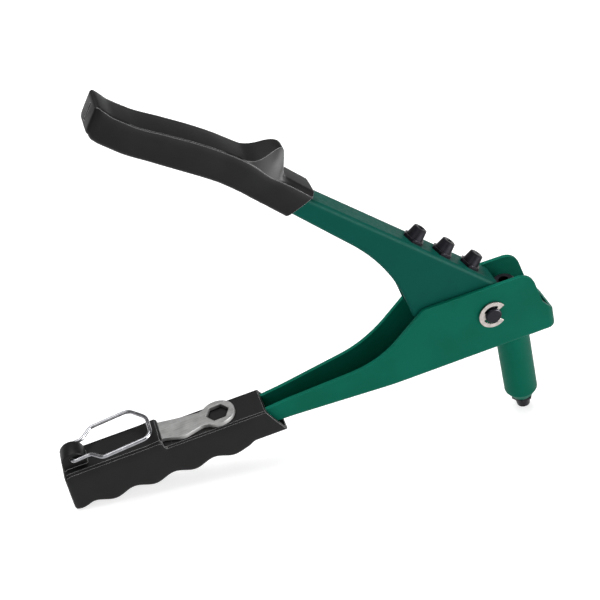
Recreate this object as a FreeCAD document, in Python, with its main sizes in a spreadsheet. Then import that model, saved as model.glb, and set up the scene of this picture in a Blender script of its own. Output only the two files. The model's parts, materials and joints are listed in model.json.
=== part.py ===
import FreeCAD, Part
import math
import os
import Sketcher

# Hand riveter: a pressed-steel lever tool that pulls blind rivets. Every piece is drawn in
# the tool frame: X runs along the fixed handle towards the head, Y across the tool, Z along
# the nose axis with the nose pointing down, and the origin where the nose axis meets the
# underside of the handle's web. The finished tool stands on its nosepiece and its heel.

Vector = FreeCAD.Vector
Rotation = FreeCAD.Rotation
Placement = FreeCAD.Placement

DRIVING_SIZES = {
    # pressed steel sheet
    "sheet_thickness": 2.0,
    "bend_radius": 2.4,
    "inner_bend_radius": 0.6,
    # fixed handle
    "head_half_width": 10.64,
    "tail_half_width": 6.5,
    "head_front": 20.2,
    "cheek_height": 38.3,
    "tail_flange_height": 9.4,
    "fixed_handle_tail": 228.5,
    # fulcrum
    "pin_back": 11.4,
    "pin_lift": 22.1,
    "pin_radius": 4.0,
    "pin_head_radius": 6.0,
    "pin_head_thickness": 1.8,
    "pin_tail_stand_out": 2.5,
    "running_gap": 0.05,
    "clip_outer_radius": 7.15,
    "clip_bow_radius": 5.1,
    "clip_groove_radius": 3.5,
    "clip_thickness": 0.9,
    "clip_gap": 0.25,
    # moving handle, in its own frame: origin on the fulcrum, X towards the head
    "handle_angle": 45.9,
    "finger_start_angle": 20.0,
    "lever_half_width": 8.3,
    "lever_web_top": 14.4,
    "lever_web_front": 6.0,
    "lever_tail": 212.0,
    "finger_radius": 3.0,
    "spare_spacing": 17.4,
    "first_spare_back": 20.8,
    # nose
    "barrel_radius": 8.47,
    "barrel_length": 44.2,
    "barrel_bore_radius": 6.0,
    "barrel_end_radius": 5.2,
    "barrel_taper": 5.0,
    "barrel_end_wall": 5.8,
    "neck_radius": 7.0,
    "neck_length": 7.4,
    "barrel_nut_flats": 17.0,
    "barrel_nut_thickness": 4.6,
    # nosepieces
    "nose_thread_radius": 4.0,
    "nose_thread_length": 5.3,
    "nose_snout_radius": 2.3,
    "nose_snout_length": 3.3,
    "nose_flats": 9.9,
    "nose_flange_thickness": 1.5,
    "nose_root_radius": 4.25,
    "nose_rim_radius": 3.75,
    "nose_barrel_length": 3.6,
    "nose_tip_radius": 2.6,
    "nose_tip_length": 1.7,
    # pulling train
    "case_radius": 5.8,
    "case_wall_radius": 4.6,
    "case_mouth_radius": 2.9,
    "case_bottom": 38.0,
    "case_top": 9.0,
    "jaw_cone_angle": 7.0,
    "jaw_length": 11.8,
    "jaw_bore_radius": 1.5,
    "jaw_travel": 2.0,
    "jaw_open_lift": 2.6,
    "jaw_gap": 0.1,
    "jaw_sweep": 176.0,
    "shank_radius": 4.4,
    "shank_bottom": 4.0,
    "mandrel_hole_radius": 2.5,
    "case_nut_flats": 11.0,
    "case_nut_thickness": 3.5,
    "puller_radius": 5.7,
    "puller_bottom": 13.2,
    "puller_top": 31.5,
    "wing_bottom": 21.35,
    "wing_thickness": 3.0,
    "wing_half_span": 8.2,
    "wing_back": 3.0,
    "wing_depth": 8.0,
    "pusher_radius": 4.4,
    "pusher_length": 6.0,
    "pusher_hole_radius": 1.6,
    "spring_mean_radius": 3.3,
    "spring_wire_radius": 0.4,
    "spring_pitch": 2.1,
    # grips
    "fixed_grip_half_width": 9.5,
    "moving_grip_half_width": 9.6,
    "grip_edge_radius": 1.0,
    "wave_pitch": 20.4,
    "wave_rise": 2.8,
    "wave_radius": 9.2,
    "wave_level": -6.8,
    "heel_back": 231.8,
    "heel_bottom": -7.2,
    "heel_round": 2.6,
    "pocket_floor": 11.9,
    "raised_top": 16.2,
    "step_back": 181.2,
    # latch
    "boss_half_width": 4.9,
    "boss_radius": 6.0,
    "boss_back": 223.5,
    "boss_lift": 18.5,
    "latch_back": 223.8,
    "latch_lift": 21.0,
    "latch_lean": 5.0,
    "latch_wire_radius": 0.95,
    "latch_half_width": 12.3,
    "latch_neck_half_width": 6.5,
    "latch_reach": 39.4,
    # wrench
    "wrench_thickness": 2.2,
    "wrench_back": 151.9,
    "wrench_head_radius": 8.5,
    "wrench_flats": 10.1,
    "wrench_tail": 192.5,
    "wrench_hexagon_turn": 2.6,
    "slot_half_width": 8.6,
}

# Bore radius of each nosepiece, by the rivet that it takes.
NOSE_BORES = {
    "nosepiece_spare_2_4": 0.8,
    "nosepiece_fitted_3_2": 1.0,
    "nosepiece_spare_4_0": 1.25,
    "nosepiece_spare_4_8": 1.5,
}

doc = FreeCAD.newDocument("hand_riveter")
sheet = doc.addObject("Spreadsheet::Sheet", "Sizes")
finished = []


def fill_sheet():
    """Write every driving size into the sheet under its own alias."""
    for row, (alias, value) in enumerate(DRIVING_SIZES.items(), start=1):
        sheet.set(f"A{row}", alias)
        sheet.set(f"B{row}", str(value))
        sheet.setAlias(f"B{row}", alias)
    doc.recompute()


def size(alias):
    """Read one driving size back from the sheet."""
    return float(sheet.get(alias))


def bind(item, **expressions):
    """Tie properties of an object to sheet cells; words in braces are aliases."""
    for name, text in expressions.items():
        item.setExpression(name.replace("__", "."), text.replace("{", "Sizes.").replace("}", ""))


# ---------------------------------------------------------------- frames

def nose_reach():
    """Distance from the web's underside to the nosepiece's tip."""
    nose = size("nose_flange_thickness") + size("nose_barrel_length") + size("nose_tip_length")
    nose += size("running_gap")
    return size("barrel_length") + nose


def standing_tilt():
    """Tilt, in degrees, that puts the rim of the tip and the round heel on one floor."""
    back = size("heel_back") - size("heel_round") - size("nose_tip_radius")
    drop = size("heel_bottom") + size("heel_round") + nose_reach()
    lean = math.acos(size("heel_round") / math.hypot(back, drop)) - math.atan2(back, drop)
    return math.degrees(lean)


def tool_place():
    """Placement that stands the tool on the floor, with the nose axis through the origin."""
    tilt = standing_tilt()
    floor = nose_reach() * math.cos(math.radians(tilt))
    floor += size("nose_tip_radius") * math.sin(math.radians(tilt))
    return Placement(Vector(0, 0, floor), Rotation(Vector(0, 1, 0), -tilt))


def lever_frame():
    """Moving handle's frame in the tool frame: on the fulcrum, turned to the open angle."""
    turn = Rotation(Vector(0, 1, 0), size("handle_angle"))
    return Placement(Vector(-size("pin_back"), 0, size("pin_lift")), turn)


# ---------------------------------------------------------------- sketch helpers

def new_body(name):
    """Start a sub-part as a body of its own."""
    body = doc.addObject("PartDesign::Body", name)
    body.Label = name
    return body


def sketch_on(body, name, role, lift=None):
    """Sketch on one of the body's own origin planes, raised by an expression if asked."""
    plane = [item for item in body.Origin.OriginFeatures if item.Role == role][0]
    sketch = body.newObject("Sketcher::SketchObject", name)
    sketch.AttachmentSupport = [(plane, "")]
    sketch.MapMode = "FlatFace"
    if lift is not None:
        bind(sketch, AttachmentOffset__Base__z=lift)
    return sketch


def rounded_pieces(corners):
    """Lines and tangent arcs of a closed outline; a corner is (x, y) or (x, y, radius)."""
    places = [Vector(corner[0], corner[1], 0) for corner in corners]
    radii = [corner[2] if len(corner) > 2 else 0.0 for corner in corners]
    ends = []
    arcs = []
    for index, place in enumerate(places):
        before = (places[index - 1] - place).normalize()
        after = (places[(index + 1) % len(places)] - place).normalize()
        half = before.getAngle(after) / 2
        if radii[index] == 0.0 or half > math.pi / 2 - 1e-4:
            ends.append((place, place))
            arcs.append(None)
            continue
        reach = radii[index] / math.tan(half)
        start = place + before * reach
        stop = place + after * reach
        centre = place + (before + after).normalize() * (radii[index] / math.sin(half))
        middle = centre + (place - centre).normalize() * radii[index]
        ends.append((start, stop))
        arcs.append(Part.Arc(start, middle, stop))
    pieces = []
    for index, (_, leave) in enumerate(ends):
        if arcs[index] is not None:
            pieces.append(arcs[index])
        arrive = ends[(index + 1) % len(ends)][0]
        if (arrive - leave).Length > 1e-6:
            pieces.append(Part.LineSegment(leave, arrive))
    return pieces


def draw_outline(sketch, corners):
    """Put a rounded closed outline in a sketch."""
    sketch.addGeometry(rounded_pieces(corners), False)


def draw_circle(sketch, x, y, radius):
    """Put a circle in a sketch, its radius tied to an expression."""
    circle = Part.Circle(Vector(x, y, 0), Vector(0, 0, 1), 1.0)
    index = sketch.addGeometry(circle, False)
    place = sketch.addConstraint(Sketcher.Constraint("Radius", index, 1.0))
    bind(sketch, **{f"Constraints[{place}]": radius})


def extrude(body, kind, sketch, length=None, symmetric=False, reverse=False):
    """Pad or pocket a sketch; a pocket with no length goes through all."""
    before = body.Tip.Shape.Volume if kind == "Pocket" else None
    feature = body.newObject(f"PartDesign::{kind}", f"{sketch.Name}_{kind.lower()}")
    feature.Profile = sketch
    feature.SideType = "Symmetric" if symmetric else "One side"
    if length is None:
        feature.Type = "ThroughAll"
    else:
        bind(feature, Length=length)
    feature.Reversed = reverse
    doc.recompute()
    if before is not None and feature.Shape.Volume > before - 1e-4:
        raise RuntimeError(f"{feature.Name} removes nothing")
    return feature


def dress(body, kind, chosen, **sizes):
    """Fillet or chamfer the edges of the tip that a test picks."""
    base = body.Tip
    names = [f"Edge{n}" for n, edge in enumerate(base.Shape.Edges, start=1) if chosen(edge)]
    if not names:
        raise RuntimeError(f"{body.Label} has no edge for its {kind.lower()}")
    feature = body.newObject(f"PartDesign::{kind}", f"{body.Name}_{kind.lower()}")
    feature.Base = (base, names)
    bind(feature, **sizes)
    doc.recompute()
    if feature.Shape.isNull() or not feature.Shape.isValid():
        raise RuntimeError(f"{feature.Name} did not build")
    return feature


def finish(item, frame=None):
    """Give a finished sub-part its place and put it on the list to write."""
    item.Label = item.Name
    own = item.Placement if item.TypeId == "Part::Feature" else Placement()
    item.Placement = frame.multiply(own) if frame is not None else own
    finished.append(item)
    return item


# ---------------------------------------------------------------- turned-part helpers

def round_slice(name, low_radius, high_radius, low, high):
    """One slice of a turned part about Z, as a cylinder or a cone bound to the sheet."""
    if low_radius == high_radius:
        item = doc.addObject("Part::Cylinder", name)
        bind(item, Radius=low_radius)
    else:
        item = doc.addObject("Part::Cone", name)
        bind(item, Radius1=low_radius, Radius2=high_radius)
    bind(item, Height=f"({high}) - ({low})", Placement__Base__z=low)
    return item


def hexagon(name, flats, low, high):
    """Hexagonal prism about Z with two corners on X, bound to the sheet."""
    item = doc.addObject("Part::Prism", name)
    item.Polygon = 6
    bind(item, Circumradius=f"({flats}) / sqrt(3)", Height=f"({high}) - ({low})")
    bind(item, Placement__Base__z=low)
    return item


def join(name, items):
    """Fuse pieces of one sub-part into a single solid."""
    item = doc.addObject("Part::MultiFuse", name)
    item.Shapes = items
    item.Refine = True
    return item


def carve(name, base, tools):
    """Cut tools out of a base."""
    if len(tools) == 1:
        tool = tools[0]
    else:
        tool = doc.addObject("Part::MultiFuse", f"{name}_tools")
        tool.Shapes = tools
    item = doc.addObject("Part::Cut", name)
    item.Base = base
    item.Tool = tool
    return item


# ---------------------------------------------------------------- fixed side

def channel_plan(half_head, half_tail, front, back, corner):
    """Plan outline of the fixed handle: wide at the head, narrow where the grip goes on."""
    blend = 150.0
    upper = [
        (front, half_head, corner),
        (-66.0, half_head, blend),
        (-120.0, half_tail, blend),
        (-back, half_tail),
    ]
    lower = [(x, -y, *rest) for x, y, *rest in reversed(upper)]
    return upper + lower


def above_the_cheeks():
    """Outline of all that is trimmed away above the fixed handle's side profile."""
    tail = size("tail_flange_height")
    top = size("cheek_height")
    front = size("head_front")
    return [
        (-240.0, top + 8),
        (-240.0, tail),
        (-137.0, tail, 6.0),
        (-131.0, 10.3, 6.0),
        (-71.3, 16.8, 50.0),
        (-44.2, top, 2.2),
        (10.7, top - 0.9, 8.0),
        (14.6, 18.4, 5.0),
        (front + 0.1, 10.4),
        (front + 8, 10.4),
        (front + 8, top + 8),
    ]


def build_fixed_handle(frame):
    """Pressed channel with two cheeks at the head, a web below and a low front lip."""
    body = new_body("fixed_handle")
    wall = size("sheet_thickness")
    half_head = size("head_half_width")
    half_tail = size("tail_half_width")
    front = size("head_front")
    back = size("fixed_handle_tail")
    plan = sketch_on(body, "fixed_plan", "XY_Plane")
    draw_outline(plan, channel_plan(half_head, half_tail, front, back, 4.0))
    extrude(body, "Pad", plan, "{cheek_height}")
    dress(body, "Fillet", lambda edge: edge.BoundBox.ZMax < 0.01 and edge.BoundBox.XMax > -228.0,
          Radius="{bend_radius}")
    hollow = sketch_on(body, "fixed_hollow", "XY_Plane", "{sheet_thickness}")
    draw_outline(hollow, channel_plan(half_head - wall, half_tail - wall, front - wall,
                                      back + 2.0, 2.0))
    extrude(body, "Pocket", hollow, reverse=True)
    side = sketch_on(body, "fixed_side", "XZ_Plane")
    draw_outline(side, above_the_cheeks())
    extrude(body, "Pocket", side, "4 * {head_half_width}", symmetric=True)
    pin_hole = sketch_on(body, "fixed_pin_hole", "XZ_Plane")
    draw_circle(pin_hole, -size("pin_back"), size("pin_lift"), "{pin_radius} + {running_gap}")
    extrude(body, "Pocket", pin_hole, "4 * {head_half_width}", symmetric=True)
    barrel_hole = sketch_on(body, "fixed_barrel_hole", "XY_Plane")
    draw_circle(barrel_hole, 0, 0, "{neck_radius} + {running_gap}")
    extrude(body, "Pocket", barrel_hole, "2 * {sheet_thickness}", reverse=True)
    finish(body, frame)


def build_fulcrum_pin(frame):
    """Headed pin across the cheeks, grooved at its near end for the clip."""
    face = "{head_half_width} + {running_gap}"
    tail = f"-({face} + {{pin_tail_stand_out}})"
    groove_low = f"-({face} + {{clip_gap}} + {{clip_thickness}} + {{running_gap}})"
    groove_high = f"-({face} + {{clip_gap}} - {{running_gap}})"
    shank = round_slice("pin_shank", "{pin_radius}", "{pin_radius}", f"{tail} + 0.5", face)
    lead = round_slice("pin_lead", "{pin_radius} - 0.5", "{pin_radius}", tail, f"{tail} + 0.5")
    head = round_slice("pin_head", "{pin_head_radius}", "{pin_head_radius}", face,
                       f"{face} + {{pin_head_thickness}} - 0.6")
    crown = round_slice("pin_crown", "{pin_head_radius}", "{pin_head_radius} - 0.8",
                        f"{face} + {{pin_head_thickness}} - 0.6",
                        f"{face} + {{pin_head_thickness}}")
    outside = round_slice("pin_groove_outer", "{pin_radius} + 1", "{pin_radius} + 1",
                          groove_low, groove_high)
    inside = round_slice("pin_groove_core", "{clip_groove_radius}", "{clip_groove_radius}",
                         groove_low, groove_high)
    groove = carve("pin_groove", outside, [inside])
    whole = join("pin_whole", [shank, lead, head, crown])
    pin = carve("fulcrum_pin", whole, [groove])
    across = Placement(Vector(-size("pin_back"), 0, size("pin_lift")),
                       Rotation(Vector(1, 0, 0), -90))
    finish(pin, frame.multiply(across))


def polar(radius, degrees):
    """Point on a circle about the origin."""
    angle = math.radians(degrees)
    return Vector(radius * math.cos(angle), radius * math.sin(angle), 0)


def ring_arc(radius, start, stop):
    """Arc about the origin between two angles, through the middle one."""
    return Part.Arc(polar(radius, start), polar(radius, (start + stop) / 2), polar(radius, stop))


def build_pin_clip(frame):
    """E-shaped retaining clip: an open ring whose three teeth sit in the pin's groove."""
    body = new_body("fulcrum_pin_clip")
    outer = size("clip_outer_radius")
    bow = size("clip_bow_radius")
    tooth = size("clip_groove_radius") + size("running_gap")
    stretches = [(322.0, 300.0, tooth), (300.0, 204.0, bow), (204.0, 156.0, tooth),
                 (156.0, 60.0, bow), (60.0, 38.0, tooth)]
    pieces = [ring_arc(outer, 38.0, 322.0)]
    last = polar(outer, 322.0)
    for start, stop, radius in stretches:
        pieces.append(Part.LineSegment(last, polar(radius, start)))
        pieces.append(ring_arc(radius, start, stop))
        last = polar(radius, stop)
    pieces.append(Part.LineSegment(last, polar(outer, 38.0)))
    sketch = sketch_on(body, "clip_outline", "XZ_Plane")
    sketch.addGeometry(pieces, False)
    extrude(body, "Pad", sketch, "{clip_thickness}")
    seat = size("head_half_width") + size("running_gap") + size("clip_gap")
    turned = Placement(Vector(-size("pin_back"), -seat, size("pin_lift")),
                       Rotation(Vector(0, 1, 0), 8))
    finish(body, frame.multiply(turned))


def build_barrel(frame):
    """Nose barrel: plain tube with a threaded neck, a tapered end and a bored end wall."""
    end = "-{barrel_length}"
    shoulder = f"{end} + {{barrel_taper}}"
    tube = round_slice("barrel_tube", "{barrel_radius}", "{barrel_radius}", shoulder,
                       "-{running_gap}")
    taper = round_slice("barrel_taper_end", "{barrel_end_radius}", "{barrel_radius}", end,
                        shoulder)
    neck = round_slice("barrel_neck", "{neck_radius}", "{neck_radius}", "-{running_gap}",
                       "{neck_length}")
    bore = round_slice("barrel_bore", "{barrel_bore_radius}", "{barrel_bore_radius}",
                       f"{end} + {{barrel_end_wall}}", "{neck_length} + 1")
    seat = round_slice("barrel_nose_seat", "{nose_thread_radius} + {running_gap}",
                       "{nose_thread_radius} + {running_gap}", f"{end} - 1",
                       f"{end} + {{barrel_end_wall}} + 1")
    whole = join("barrel_whole", [tube, taper, neck])
    finish(carve("barrel", whole, [bore, seat]), frame)


def build_barrel_nut(frame):
    """Thin hexagonal nut that clamps the barrel's neck to the web."""
    low = "{sheet_thickness} + {running_gap}"
    high = f"{low} + {{barrel_nut_thickness}}"
    block = hexagon("barrel_nut_block", "{barrel_nut_flats}", low, high)
    radius = "{neck_radius} + {running_gap}"
    hole = round_slice("barrel_nut_hole", radius, radius, f"{low} - 1", f"{high} + 1")
    finish(carve("barrel_lock_nut", block, [hole]), frame)


# ---------------------------------------------------------------- nosepieces

def build_nosepiece(name, bore_radius, frame):
    """Nosepiece about Z, seat at zero: snout and thread above, hexagon and nose below."""
    thread_top = "{nose_thread_length}"
    snout_top = f"{thread_top} + {{nose_snout_length}}"
    hex_low = "-({running_gap} + {nose_flange_thickness})"
    rim = f"{hex_low} - {{nose_barrel_length}}"
    tip = f"{rim} - {{nose_tip_length}}"
    parts = [
        round_slice(f"{name}_snout", "{nose_snout_radius}", "{nose_snout_radius}", thread_top,
                    snout_top),
        round_slice(f"{name}_thread", "{nose_thread_radius}", "{nose_thread_radius}",
                    "-{running_gap}", thread_top),
        hexagon(f"{name}_hexagon", "{nose_flats}", hex_low, "-{running_gap}"),
        round_slice(f"{name}_barrel", "{nose_rim_radius}", "{nose_root_radius}", rim, hex_low),
        round_slice(f"{name}_tip", "{nose_tip_radius}", "{nose_rim_radius}", tip, rim),
    ]
    hole = round_slice(f"{name}_hole", str(bore_radius), str(bore_radius), f"{tip} - 1",
                       f"{snout_top} + 1")
    finish(carve(name, join(f"{name}_whole", parts), [hole]), frame)


def spare_frame(frame, index):
    """Frame of one spare nosepiece: screwed into the moving handle's web, nose outward."""
    back = size("first_spare_back") + index * size("spare_spacing")
    seat = Vector(-back, 0, size("lever_web_top"))
    return frame.multiply(lever_frame()).multiply(Placement(seat, Rotation(Vector(1, 0, 0), 180)))


# ---------------------------------------------------------------- pulling train

def build_jaw_case(frame):
    """Tube that holds the jaws: a closing cone at the mouth, a plain bore, a tapped top."""
    mouth = "-{case_bottom}"
    cone_top = (f"{mouth} + ({{case_wall_radius}} - {{case_mouth_radius}})"
                " / tan({jaw_cone_angle})")
    outer = round_slice("case_outer", "{case_radius}", "{case_radius}", mouth, "{case_top}")
    cone = round_slice("case_cone", "{case_mouth_radius}", "{case_wall_radius}", mouth, cone_top)
    bore = round_slice("case_bore", "{case_wall_radius}", "{case_wall_radius}", cone_top,
                       "-{shank_bottom} - 0.5")
    tapped = round_slice("case_tapped", "{shank_radius} + {running_gap}",
                         "{shank_radius} + {running_gap}", "-{shank_bottom} - 0.5",
                         "{case_top} + 1")
    finish(carve("jaw_case", outer, [cone, bore, tapped]), frame)


def build_jaw(name, side, frame):
    """Half of a split conical jaw with a toothed bore; side is the sign of its Y."""
    slope = math.tan(math.radians(size("jaw_cone_angle")))
    shut = size("jaw_open_lift") - size("jaw_travel")
    bottom = -size("case_bottom") + shut
    top = bottom + size("jaw_length")
    low = size("case_mouth_radius") - size("jaw_gap") + shut * slope
    high = low + size("jaw_length") * slope
    bore = size("jaw_bore_radius")
    body = new_body(name)
    sketch = sketch_on(body, f"{name}_section", "XZ_Plane")
    draw_outline(sketch, [(bore, bottom), (low, bottom), (high, top), (bore, top)])
    turn = body.newObject("PartDesign::Revolution", f"{name}_turn")
    turn.Profile = sketch
    turn.ReferenceAxis = (sketch, ["V_Axis"])
    turn.Angle = size("jaw_sweep")
    turn.Midplane = True
    doc.recompute()
    lift = size("jaw_travel")
    facing = Rotation(Vector(0, 0, 1), 90.0 * side)
    open_place = Placement(Vector(0, side * lift * slope, lift), facing)
    finish(body, frame.multiply(open_place))


def pusher_bottom():
    """Height of the pusher's lower end, just clear of the open jaws."""
    return -size("case_bottom") + size("jaw_open_lift") + size("jaw_length") + 0.2


def build_jaw_pusher(frame):
    """Spring-loaded tube that presses the jaws down their cone."""
    low = str(pusher_bottom())
    waist = f"{low} + 2"
    high = f"{low} + {{pusher_length}}"
    head = round_slice("pusher_head", "{pusher_radius}", "{pusher_radius}", low, waist)
    stem = round_slice("pusher_stem", "{spring_mean_radius} - 0.8", "{spring_mean_radius} - 0.8",
                       waist, high)
    hole = round_slice("pusher_hole", "{pusher_hole_radius}", "{pusher_hole_radius}",
                       f"{low} - 1", f"{high} + 1")
    finish(carve("jaw_pusher", join("pusher_whole", [head, stem]), [hole]), frame)


def build_jaw_spring(frame):
    """Coil spring between the pusher's collar and the end of the pulling head's shank."""
    wire = size("spring_wire_radius")
    low = pusher_bottom() + 2.0 + wire + 0.05
    high = -size("shank_bottom") - wire - 0.05
    path = Part.makeHelix(size("spring_pitch"), high - low, size("spring_mean_radius"))
    start = Vector(size("spring_mean_radius"), 0, 0)
    ring = Part.Wire([Part.makeCircle(wire, start, Vector(0, 1, 0))])
    coil = Part.Wire(path.Edges).makePipeShell([ring], True, True)
    item = doc.addObject("Part::Feature", "jaw_spring")
    item.Shape = Part.Solid(coil) if coil.ShapeType == "Shell" else coil
    item.Placement = Placement(Vector(0, 0, low), Rotation())
    finish(item, frame)


def build_case_nut(frame):
    """Lock nut between the jaw case and the pulling head."""
    low = "{case_top} + {running_gap}"
    high = f"{low} + {{case_nut_thickness}}"
    radius = "{shank_radius} + {running_gap}"
    block = hexagon("case_nut_block", "{case_nut_flats}", low, high)
    hole = round_slice("case_nut_hole", radius, radius, f"{low} - 1", f"{high} + 1")
    finish(carve("jaw_case_lock_nut", block, [hole]), frame)


def build_pulling_head(frame):
    """Turned head with a threaded shank, and the cross bar that the lever's fingers lift."""
    shank = round_slice("puller_shank", "{shank_radius}", "{shank_radius}", "-{shank_bottom}",
                        "{puller_bottom}")
    waist = round_slice("puller_waist", "{puller_radius}", "{puller_radius}", "{puller_bottom}",
                        "{puller_top} - 1.2")
    crown = round_slice("puller_crown", "{puller_radius}", "{puller_radius} - 1.2",
                        "{puller_top} - 1.2", "{puller_top}")
    bar = doc.addObject("Part::Box", "puller_bar")
    bind(bar, Length="{wing_depth}", Width="2 * {wing_half_span}", Height="{wing_thickness}")
    bind(bar, Placement__Base__x="-{wing_back}", Placement__Base__y="-{wing_half_span}",
         Placement__Base__z="{wing_bottom}")
    hole = round_slice("puller_hole", "{mandrel_hole_radius}", "{mandrel_hole_radius}",
                       "-{shank_bottom} - 1", "{puller_top} + 1")
    whole = join("puller_whole", [shank, waist, crown, bar])
    finish(carve("pulling_head", whole, [hole]), frame)


# ---------------------------------------------------------------- moving side

def finger_point(along, across):
    """Point of the lifting finger, in the moving handle's frame."""
    turn = math.radians(size("handle_angle") - size("finger_start_angle"))
    x = along * math.cos(turn) - across * math.sin(turn)
    z = along * math.sin(turn) + across * math.cos(turn)
    return (x, z)


def lever_outline():
    """Side outline of the moving handle: web above, flange below, finger at the front."""
    top = size("lever_web_top")
    reach = size("pin_back") + size("finger_radius")
    start = math.radians(size("finger_start_angle"))
    crest = size("finger_radius") / math.cos(start)
    slope = math.tan(start)
    neck = 6.6
    crest_at_pin = crest - size("pin_back") * slope
    return [
        (-size("lever_tail"), top - 3.9),
        (-150.0, top, 60.0),
        (-size("lever_web_front"), top, 1.0),
        (*finger_point(neck, crest_at_pin + neck * slope), 1.5),
        (*finger_point(reach, crest_at_pin + reach * slope), size("finger_radius")),
        (*finger_point(reach, -size("finger_radius")), size("finger_radius")),
        (*finger_point(1.5, -size("finger_radius") - 1.2), 4.0),
        (-3.0, -10.5, 6.0),
        (-19.0, -18.7, 5.0),
        (-34.5, -18.7, 1.5),
        (-61.0, -0.5, 85.0),
        (-84.0, 2.0, 60.0),
        (-150.0, 6.4, 40.0),
        (-size("lever_tail"), top - 11.0),
    ]


def build_moving_handle(frame):
    """Pressed lever: a channel open downward that nests between the cheeks."""
    body = new_body("moving_handle")
    wall = size("sheet_thickness")
    top = size("lever_web_top")
    side = sketch_on(body, "lever_side", "XZ_Plane")
    draw_outline(side, lever_outline())
    extrude(body, "Pad", side, "2 * {lever_half_width}", symmetric=True)
    half = size("lever_half_width")
    dress(body, "Fillet", lambda edge: along_web(edge, half), Radius="{bend_radius}")
    hollow = sketch_on(body, "lever_hollow", "XZ_Plane")
    draw_outline(hollow, [
        (-size("lever_tail") - 2, top - wall - 4.03),
        (-150.0, top - wall, 58.0),
        (20.0, top - wall),
        (20.0, -40.0),
        (-size("lever_tail") - 2, -40.0),
    ])
    extrude(body, "Pocket", hollow, "2 * ({lever_half_width} - {sheet_thickness})",
            symmetric=True)
    pin_hole = sketch_on(body, "lever_pin_hole", "XZ_Plane")
    draw_circle(pin_hole, 0, 0, "{pin_radius} + {running_gap}")
    extrude(body, "Pocket", pin_hole, "4 * {lever_half_width}", symmetric=True)
    holes = sketch_on(body, "lever_spare_holes", "XY_Plane", "{lever_web_top} + 1")
    for index in range(3):
        back = size("first_spare_back") + index * size("spare_spacing")
        draw_circle(holes, -back, 0, "{nose_thread_radius} + {running_gap}")
    extrude(body, "Pocket", holes, "{sheet_thickness} + 3")
    finish(body, frame.multiply(lever_frame()))


def along_web(edge, half):
    """True for the long outer bends between the lever's web and its flanges."""
    on_side = all(abs(abs(corner.Y) - half) < 1e-3 for corner in edge.Vertexes)
    return on_side and edge.BoundBox.ZMin > 8.0 and edge.BoundBox.XMax < -5.0


# ---------------------------------------------------------------- grips

def fixed_grip_outline():
    """Side outline of the lower grip: finger waves below, a step for the wrench above."""
    pitch = size("wave_pitch")
    rise = size("wave_rise")
    level = size("wave_level")
    bend = size("wave_radius")
    top = size("raised_top")
    floor = size("pocket_floor")
    step = size("step_back")
    corners = [
        (-size("heel_back") + 1.6, top, 2.0),
        (-size("heel_back"), 4.0, 20.0),
        (-size("heel_back"), size("heel_bottom"), size("heel_round")),
        (-228.2, size("heel_bottom"), 2.0),
    ]
    for index in range(4):
        crest = -211.6 + index * pitch
        corners.append((crest - pitch / 2, level + rise - (0.6 if index == 0 else 0), bend))
        corners.append((crest, level - rise, bend))
    corners += [
        (-142.0, -4.4, 9.0),
        (-122.4, -4.4, 2.6),
        (-123.2, 1.4, 3.0),
        (-130.2, floor, 1.6),
        (-step, floor, 1.2),
        (-step, top + 0.8, 1.4),
        (-step - 7, top, 10.0),
    ]
    return corners


def side_edges(half):
    """Test for the edges that bound a grip's two flat sides."""
    def chosen(edge):
        return all(abs(abs(corner.Y) - half) < 1e-3 for corner in edge.Vertexes)
    return chosen


def build_fixed_grip(frame):
    """Moulded lower grip with the latch's boss, the wrench's slot and the handle's socket."""
    body = new_body("fixed_grip")
    side = sketch_on(body, "fixed_grip_side", "XZ_Plane")
    draw_outline(side, fixed_grip_outline())
    extrude(body, "Pad", side, "2 * {fixed_grip_half_width}", symmetric=True)
    half = size("fixed_grip_half_width")
    dress(body, "Fillet", side_edges(half), Radius="{grip_edge_radius}")
    boss = sketch_on(body, "latch_boss", "XZ_Plane")
    back = size("boss_back")
    radius = size("boss_radius")
    lift = size("boss_lift")
    draw_outline(boss, [
        (-back - radius, size("pocket_floor")),
        (-back - radius, lift + radius, radius * 0.999),
        (-back + radius, lift + radius, radius * 0.999),
        (-back + radius, size("pocket_floor")),
    ])
    extrude(body, "Pad", boss, "2 * {boss_half_width}", symmetric=True)
    pivot = sketch_on(body, "latch_pivot", "XZ_Plane")
    draw_circle(pivot, -size("latch_back"), size("latch_lift"),
                "{latch_wire_radius} + {running_gap}")
    extrude(body, "Pocket", pivot, "4 * {boss_half_width}", symmetric=True)
    socket = sketch_on(body, "fixed_grip_socket", "XZ_Plane")
    tail = size("fixed_handle_tail")
    draw_outline(socket, [
        (-tail - 0.1, -0.05),
        (-100.0, -0.05),
        (-100.0, 13.5),
        (-129.0, 10.75),
        (-131.0, 10.4),
        (-137.5, size("tail_flange_height") + 0.1),
        (-tail - 0.1, size("tail_flange_height") + 0.1),
    ])
    extrude(body, "Pocket", socket, "2 * ({tail_half_width} + {running_gap})", symmetric=True)
    slot = sketch_on(body, "wrench_slot", "XY_Plane", "{pocket_floor}")
    wide = size("slot_half_width")
    draw_outline(slot, [
        (-size("wrench_tail") - 1, -wide, 1.0),
        (-size("wrench_tail") - 1, wide, 1.0),
        (-size("step_back") + 2, wide),
        (-size("step_back") + 2, -wide),
    ])
    extrude(body, "Pocket", slot, "{wrench_thickness} + 0.2", reverse=True)
    finish(body, frame)


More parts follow.
